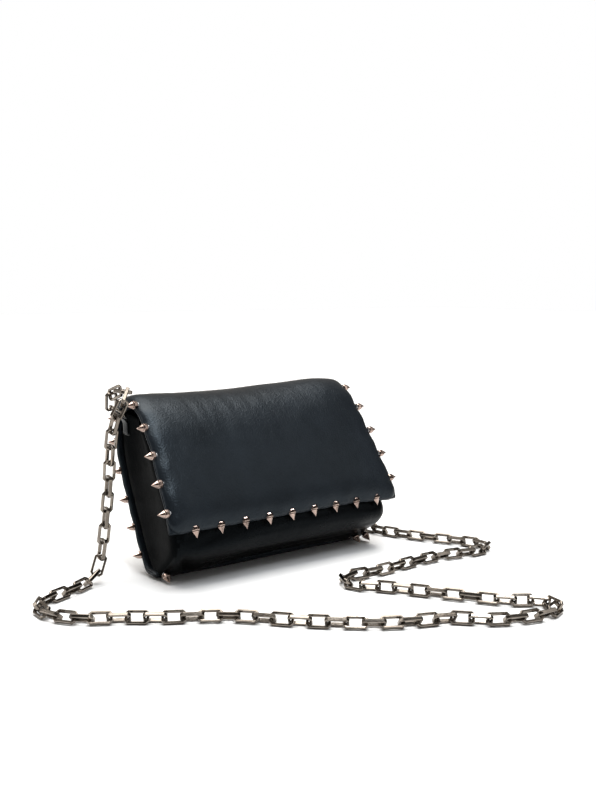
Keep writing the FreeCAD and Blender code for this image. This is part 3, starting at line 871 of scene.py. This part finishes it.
def build_tab(side, name):
    """A leather strap that lies on the gusset and turns round the ring's straight side."""
    centre = np.array((POUCH_HALF + RING_OUT, RING_AT[1]))
    wall = POUCH_HALF + 0.15
    path = [(wall, 93.5), (wall, 97.0), (wall, 100.5), (wall + 0.4, 103.6), (wall + 1.2, 105.9)]
    reach = TAB_EYE + TAB_THICK / 2
    for angle in np.radians(np.linspace(215, -55, 14)):
        path.append((centre[0] + reach * math.cos(angle), centre[1] + reach * math.sin(angle)))
    path += [(wall + 2.9, 104.6), (wall + 1.6, 102.6), (wall + 1.3, 99.5), (wall + 1.25, 96.5),
             (wall + 1.2, 94.2)]
    path = np.array(path)
    way = np.gradient(path, axis=0)
    way /= np.linalg.norm(way, axis=1)[:, None]
    normal = np.stack([-way[:, 1], way[:, 0]], -1)
    half = TAB_WIDTH / 2
    columns = np.array([-1, -0.9, -0.6, -0.2, 0.2, 0.6, 0.9, 1]) * half
    edge = 0.62 + 0.38 * (1 - (np.abs(columns) / half) ** 6)
    grids = []
    for sign in (-1, 1):
        offset = sign * (TAB_THICK / 2) * edge
        grids.append(np.array([np.stack([side * (p[0] + n[0] * offset),
                                         columns + RING_AT[0] + SHIFT_Y,
                                         p[1] + n[1] * offset], -1) for p, n in zip(path, normal)]))
    return slab(name, grids[0], grids[1], [(0.5, 0.12)])


# ---- stitches ----------------------------------------------------------------

STITCH_LENGTH = 2.3
STITCH_STEP = 3.2
STITCH_HALF = 0.26
STITCH_IN = 7.0              # in from the flap's edges
STITCH_FROM = 34.0           # past the hinge
STITCH_RISE = 0.1
STITCH_READ = 0.8            # before and after a stitch, to find its direction
CARD_SEAM = 2.2


def stitch_model():
    """One stitch of thread that dips at both ends."""
    rings = []
    for share in np.linspace(-1, 1, 7):
        radius = STITCH_HALF * math.sqrt(max(0.08, 1 - share ** 4))
        drop = -0.35 * share ** 4
        rings.append([(radius * math.cos(a), radius * math.sin(a) + drop,
                       share * STITCH_LENGTH / 2)
                      for a in np.radians(np.arange(0, 360, 60))])
    points = np.array(rings).reshape(-1, 3)
    faces = []
    for ring in range(6):
        faces += strip(np.arange(6) + ring * 6, np.arange(6) + ring * 6 + 6)
    faces += [list(range(5, -1, -1)), list(range(36, 42))]
    return points, faces


def stitches(name, lines, normals):
    """Stitches along lines of points, standing on surfaces with the given normals."""
    turns = []
    for line, normal in zip(lines, normals):
        line = np.asarray(line, float)
        normal = np.asarray(normal, float)
        along = lengths_along(line)
        for at in np.arange(STITCH_STEP / 2, along[-1], STITCH_STEP):
            read = [np.interp([at - STITCH_READ, at, at + STITCH_READ], along, line[:, k])
                    for k in range(3)]
            before, place, after = np.array(read).T
            up = [np.interp(at, along, normal[:, k]) for k in range(3)]
            side = Vector(up).cross(Vector(after - before))
            turns.append(frame_at(place, after - before, side))
    return copies(name, stitch_model(), turns, smooth=True)


def lining_stitches():
    """The seam that holds the flap's lining, along its two sides and its end."""
    steps = np.linspace(HINGE_ALONG + STITCH_FROM, PANEL_RUN.length - STITCH_IN, 50)
    columns = np.linspace(-1, 1, 60) * (1 - STITCH_IN / FLAP_TOP_HALF)
    grid, along, across = panel_grid(steps, columns, STACK + STITCH_RISE, THIN_ROLL)
    grid = shape_panel(grid, along, across, False)
    _, flat = PANEL_RUN.at(along)
    normal = np.concatenate([np.zeros(flat.shape[:-1] + (1,)), flat], -1)
    lines = [grid[:, 0], grid[-1], grid[:, -1]]
    return stitches("flap_lining_stitches", lines, [normal[:, 0], normal[-1], normal[:, -1]])


def card_stitches():
    """Short seams at both sides of each card slot, on the part of its leaf that shows."""
    run = Run(CARD_LINE)
    z = run.line[:, 1]
    lines, normals = [], []
    for index in range(CARD_LEAVES):
        top = CARD_TOP - index * CARD_DROP
        low, high = np.interp([top - CARD_DROP + 1, top - 1], z, run.along)
        place, normal = run.at(np.linspace(low, high, 8))
        depth = STACK + CARD_OFF + index * CARD_STEP + CARD_LEAF + STITCH_RISE
        flat = place + normal * depth
        for side in (-1, 1):
            x = np.full((len(flat), 1), side * (CARD_HALF - CARD_SEAM))
            lines.append(np.concatenate([x, flat], -1))
            normals.append(np.concatenate([x * 0, normal], -1))
    return stitches("card_slot_stitches", lines, normals)


# ---- materials ---------------------------------------------------------------

class Nodes:
    """Short hand for a material's nodes."""

    def __init__(self, name):
        self.material = bpy.data.materials.new(name)
        self.material.use_nodes = True
        self.tree = self.material.node_tree
        self.shader = self.tree.nodes["Principled BSDF"]

    def add(self, kind, inputs=None, **settings):
        node = self.tree.nodes.new(kind)
        for key, value in settings.items():
            setattr(node, key, value)
        for key, value in (inputs or {}).items():
            self.put(node.inputs[key], value)
        return node

    def put(self, socket, value):
        if isinstance(value, bpy.types.NodeSocket):
            self.tree.links.new(value, socket)
        else:
            socket.default_value = value

    def ramp(self, value, stops):
        node = self.add("ShaderNodeValToRGB", {"Fac": value})
        elements = node.color_ramp.elements
        while len(elements) < len(stops):
            elements.new(0.5)
        for element, (place, colour) in zip(elements, stops):
            element.position = place
            element.color = (*colour, 1) if isinstance(colour, tuple) else (colour,) * 3 + (1,)
        return node.outputs["Color"]

    def noise(self, scale, detail=4.0, roughness=0.55, stretch=(1, 1, 1)):
        where = self.add("ShaderNodeMapping", {"Vector": self.where, "Scale": stretch})
        node = self.add("ShaderNodeTexNoise", {"Vector": where.outputs["Vector"], "Scale": scale,
                                               "Detail": detail, "Roughness": roughness})
        return node.outputs["Fac"]

    @property
    def where(self):
        return self.add("ShaderNodeTexCoord").outputs["Object"]

    def bump(self, height, strength, distance, before=None):
        node = self.add("ShaderNodeBump", {"Height": height, "Strength": strength,
                                           "Distance": distance})
        if before is not None:
            self.put(node.inputs["Normal"], before)
        return node.outputs["Normal"]

    def set(self, **values):
        for key, value in values.items():
            self.put(self.shader.inputs[key.replace("_", " ")], value)
        return self.material


def leather(name, dark, light, rough, grain=1.0, creases=0.0, coat=0.1, shine=0.5):
    """Nappa: fine pebbled grain, pores, broad tone, and soft creases."""
    n = Nodes(name)
    broad = n.noise(22, 3)
    colour = n.ramp(broad, [(0.35, dark), (0.7, light)])
    cells = n.add("ShaderNodeTexVoronoi", {"Vector": n.where, "Scale": 1100.0},
                  feature="SMOOTH_F1").outputs["Distance"]
    pores = n.noise(3600, 3)
    crease = n.noise(170, 4, 0.5, stretch=(1.0, 0.5, 0.45))
    first = n.bump(crease, 0.25 + creases, 0.0009)
    second = n.bump(cells, 0.55 * grain, 0.00030, first)
    third = n.bump(pores, 0.25 * grain, 0.00012, second)
    patch = n.noise(60, 4)
    roughness = n.ramp(patch, [(0.3, rough - 0.05), (0.75, rough + 0.07)])
    n.set(Base_Color=colour, Roughness=roughness, Normal=third, Coat_Weight=coat,
          Coat_Roughness=0.28, Specular_Tint=(0.70, 0.87, 1.0, 1), Specular_IOR_Level=shine)
    return n.material


def metal(name, dark, light, warm, rough):
    """Polished plated metal with patchy tint, fine scratches and handling marks."""
    n = Nodes(name)
    tone = n.ramp(n.noise(90, 4), [(0.3, dark), (0.62, light), (0.8, warm)])
    marks = n.noise(900, 5, 0.65)
    roughness = n.ramp(marks, [(0.3, rough - 0.04), (0.75, rough + 0.10)])
    scratches = n.noise(700, 4, 0.6, stretch=(1, 6, 1))
    normal = n.bump(scratches, 0.07, 0.0001)
    n.set(Base_Color=tone, Metallic=1.0, Roughness=roughness, Normal=normal)
    return n.material


def textile(name, dark, light):
    """Plain woven lining: threads both ways with slubs."""
    n = Nodes(name)
    one = n.add("ShaderNodeTexWave", {"Vector": n.where, "Scale": 620.0, "Distortion": 0.6},
                bands_direction="X").outputs["Fac"]
    two = n.add("ShaderNodeTexWave", {"Vector": n.where, "Scale": 620.0, "Distortion": 0.6},
                bands_direction="Z").outputs["Fac"]
    weave = n.add("ShaderNodeMath", {0: one, 1: two}, operation="MAXIMUM").outputs[0]
    slub = n.noise(160, 4)
    colour = n.ramp(slub, [(0.3, dark), (0.7, light)])
    normal = n.bump(weave, 0.35, 0.00015)
    rough = n.ramp(slub, [(0.3, 0.62), (0.7, 0.78)])
    n.set(Base_Color=colour, Roughness=rough, Normal=normal, Sheen_Weight=0.25)
    return n.material


def thread(name, dark, light):
    """Twisted waxed thread."""
    n = Nodes(name)
    twist = n.add("ShaderNodeTexWave", {"Vector": n.where, "Scale": 900.0, "Distortion": 1.5},
                  bands_direction="DIAGONAL").outputs["Fac"]
    colour = n.ramp(twist, [(0.2, dark), (0.8, light)])
    rough = n.ramp(n.noise(500), [(0.3, 0.45), (0.7, 0.6)])
    n.set(Base_Color=colour, Roughness=rough, Normal=n.bump(twist, 0.4, 0.0001))
    return n.material


def wear(made, material):
    made.data.materials.clear()
    made.data.materials.append(material)
    return made


def fit(piece, material, replaced=(), body=None):
    """Dresses a piece and puts it in place of CAD nodes, on a body, or without one fixed where it
    stands.
    """
    wear(piece, material)
    if body:
        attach(piece, body)
    else:
        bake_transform(piece)
    if replaced:
        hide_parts(*replaced)
    return piece


# ---- floor, lights, camera ---------------------------------------------------

def make_floor():
    mesh = bpy.data.meshes.new("floor")
    size = 6.0
    mesh.from_pydata([(-size, -size, 0), (size, -size, 0), (size, size, 0), (-size, size, 0)], [],
                     [(0, 1, 2, 3)])
    floor = add_object("floor", mesh)
    n = Nodes("floor_white")
    tone = n.ramp(n.noise(3, 2), [(0.3, (0.90, 0.90, 0.90)), (0.7, (0.92, 0.92, 0.92))])
    n.set(Base_Color=tone, Roughness=0.7)
    wear(floor, n.material)
    return floor


def area_light(name, at, target, size, power, colour=(1, 1, 1)):
    data = bpy.data.lights.new(name, "AREA")
    data.shape = "RECTANGLE"
    data.size, data.size_y = size
    data.energy = power
    data.color = colour
    light = add_object(name, data)
    light.location = at
    light.rotation_euler = (Vector(target) - Vector(at)).to_track_quat("-Z", "Y").to_euler()
    return light


def sun_light(name, way, power, angle, colour):
    data = bpy.data.lights.new(name, "SUN")
    data.energy = power
    data.angle = math.radians(angle)
    data.color = colour
    light = add_object(name, data)
    light.rotation_euler = Vector(way).to_track_quat("-Z", "Y").to_euler()
    return light


def make_lights():
    """A room dim in front and bright behind, a large soft top light, a strip and two softboxes."""
    world = bpy.data.worlds.new("studio")
    bpy.context.scene.world = world
    world.use_nodes = True
    tree = world.node_tree
    room = tree.nodes["Background"]
    way = tree.nodes.new("ShaderNodeTexCoord").outputs["Generated"]
    parts = tree.nodes.new("ShaderNodeSeparateXYZ")
    tree.links.new(way, parts.inputs[0])
    ramp = tree.nodes.new("ShaderNodeMapRange")
    for limit, value in (("From Min", ROOM_FROM), ("From Max", ROOM_TO), ("To Min", ROOM_DIM),
                         ("To Max", ROOM_BRIGHT)):
        ramp.inputs[limit].default_value = value
    tree.links.new(parts.outputs["Y"], ramp.inputs["Value"])
    tree.links.new(ramp.outputs["Result"], room.inputs["Strength"])
    room.inputs["Color"].default_value = ROOM_COLOUR
    seen = tree.nodes.new("ShaderNodeBackground")
    seen.inputs["Color"].default_value = (1, 1, 1, 1)
    path = tree.nodes.new("ShaderNodeLightPath")
    mix = tree.nodes.new("ShaderNodeMixShader")
    tree.links.new(path.outputs["Is Camera Ray"], mix.inputs[0])
    tree.links.new(room.outputs[0], mix.inputs[1])
    tree.links.new(seen.outputs[0], mix.inputs[2])
    tree.links.new(mix.outputs[0], tree.nodes["World Output"].inputs["Surface"])
    sun_light("top_light", (-0.06, -0.14, -1.0), 4.3, 50, (1, 0.985, 0.96))
    area_light("edge_strip", (-0.15, -0.6, 1.25), (-0.09, 0, 0.08), (0.10, 0.8), 8, (0.92, 0.96, 1.0))
    area_light("low_front_light", (0.4, -1.6, 0.28), (0, 0, 0.02), (1.8, 0.4), 2.5)
    area_light("left_strip", (-1.3, 0.5, 0.5), (0, 0, 0.06), (0.25, 0.9), 3)
    area_light("front_softbox", (1.1, -1.2, 1.3), (0, 0, 0.08), (0.9, 0.9), 4)


def make_camera():
    data = bpy.data.cameras.new("camera")
    data.lens = CAMERA_LENS
    camera = add_object("camera", data)
    camera.location = Vector(CAMERA_AT) * MM
    camera.rotation_euler = [math.radians(a) for a in CAMERA_TURN]
    bpy.context.scene.camera = camera


# ---- the whole wallet --------------------------------------------------------

make_camera()
chain, chain_path, chain_length = build_chain()
read_studs()

NAPPA = leather("black_nappa", (0.0055, 0.0070, 0.0090), (0.009, 0.0115, 0.015), 0.34, creases=0.12,
                coat=0.02, shine=0.19)
# the pouch and gusset nappa is the flap's leather painted far darker: painted shade for the belly and
# gussets under the flap; the gusset copy is also duller
POUCH_NAPPA_SHADED = leather("pouch_nappa_painted_shade", (0.0010, 0.0011, 0.0012), (0.0018, 0.0020, 0.0022), 0.30,
                      grain=0.7, coat=0.0, shine=0.06)
GUSSET_NAPPA_SHADED = leather("gusset_nappa_painted_shade", (0.0010, 0.0011, 0.0012), (0.0018, 0.0020, 0.0022), 0.55,
                       grain=0.7, coat=0.0, shine=0.02)
POCKET_LEATHER = leather("pocket_calf", (0.012, 0.012, 0.013), (0.022, 0.022, 0.024), 0.48)
GUNMETAL = metal("gunmetal", (0.125, 0.108, 0.092), (0.225, 0.197, 0.168), (0.33, 0.26, 0.20), 0.17)
# a bright copy of the gunmetal for the links' arrises: a painted edge highlight
GUNMETAL_PAINTED_HIGHLIGHT = metal("gunmetal_painted_highlight", (0.50, 0.46, 0.43), (0.68, 0.63, 0.58), (0.70, 0.58, 0.48), 0.16)
BRONZE = metal("stud_bronze", (0.25, 0.185, 0.16), (0.42, 0.32, 0.275), (0.56, 0.42, 0.35), 0.15)
STEEL = metal("screw_steel", (0.42, 0.42, 0.43), (0.55, 0.55, 0.56), (0.60, 0.58, 0.55), 0.28)
LINING = textile("lining_twill", (0.012, 0.012, 0.014), (0.022, 0.022, 0.026))
THREAD = thread("black_thread", (0.015, 0.015, 0.016), (0.035, 0.035, 0.038))

# Chain
fit(chain, GUNMETAL, CHAIN_NODES, "pouch")
# the links' arrises wear the bright copy of the gunmetal, a painted edge highlight
chain.data.materials.append(GUNMETAL_PAINTED_HIGHLIGHT)

# Padded leather and linings
panel = fit(build_panel(), NAPPA,
            ("flap_leather", "flap_padding", "flap_edge_band", "back_leather", "back_padding",
             "back_edge_bands"))
fit(build_flap_lining(), POCKET_LEATHER, ("flap_lining",))

for seam, body in ((lining_stitches(), "flap"), (card_stitches(), "pouch")):
    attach(wear(seam, THREAD), body)

# the pouch wears the darker copies of the nappa, which carry painted shade
pouch = fit(build_pouch(), POUCH_NAPPA_SHADED,
            ("front_leather", "front_padding", "bottom_leather", "bottom_padding",
             "left_gusset", "right_gusset"), "pouch")
pouch.data.materials.append(GUSSET_NAPPA_SHADED)
pouch.data.polygons.foreach_set("material_index", [int(abs(p.normal.x) > GUSSET_FACING)
                                                   for p in pouch.data.polygons])
fit(build_pouch_lining(), LINING,
    ("pocket_lining", "left_gusset_lining", "right_gusset_lining"), "pouch")

card_leaves, slip_leaf = build_pockets()
for index, piece in enumerate(card_leaves):
    fit(piece, POCKET_LEATHER, () if index else ("card_slots",), "pouch")
fit(slip_leaf, POCKET_LEATHER, ("slip_pocket",), "pouch")

for side, word in ((-1, "left"), (1, "right")):
    # the tab straps wear the pouch's darker nappa, which carries painted shade
    fit(build_tab(side, word + "_tab_strap"), POUCH_NAPPA_SHADED, (word + "_tab",), "pouch")
    wear(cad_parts[word + "_ring"], GUNMETAL)

# Studs and hidden fittings
for name, cones in zip(STUD_WAYS, build_studs()):
    body = "flap" if name.startswith("flap") else "pouch"
    fit(cones, BRONZE, (name + "_studs",), body)
    wear(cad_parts[name + "_stud_screws"], STEEL)
for name in ("flap_magnet", "flap_magnet_plate", "front_magnet", "front_magnet_plate"):
    wear(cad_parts[name], STEEL)

make_floor()
make_lights()
bpy.context.scene.view_settings.view_transform = "Standard"
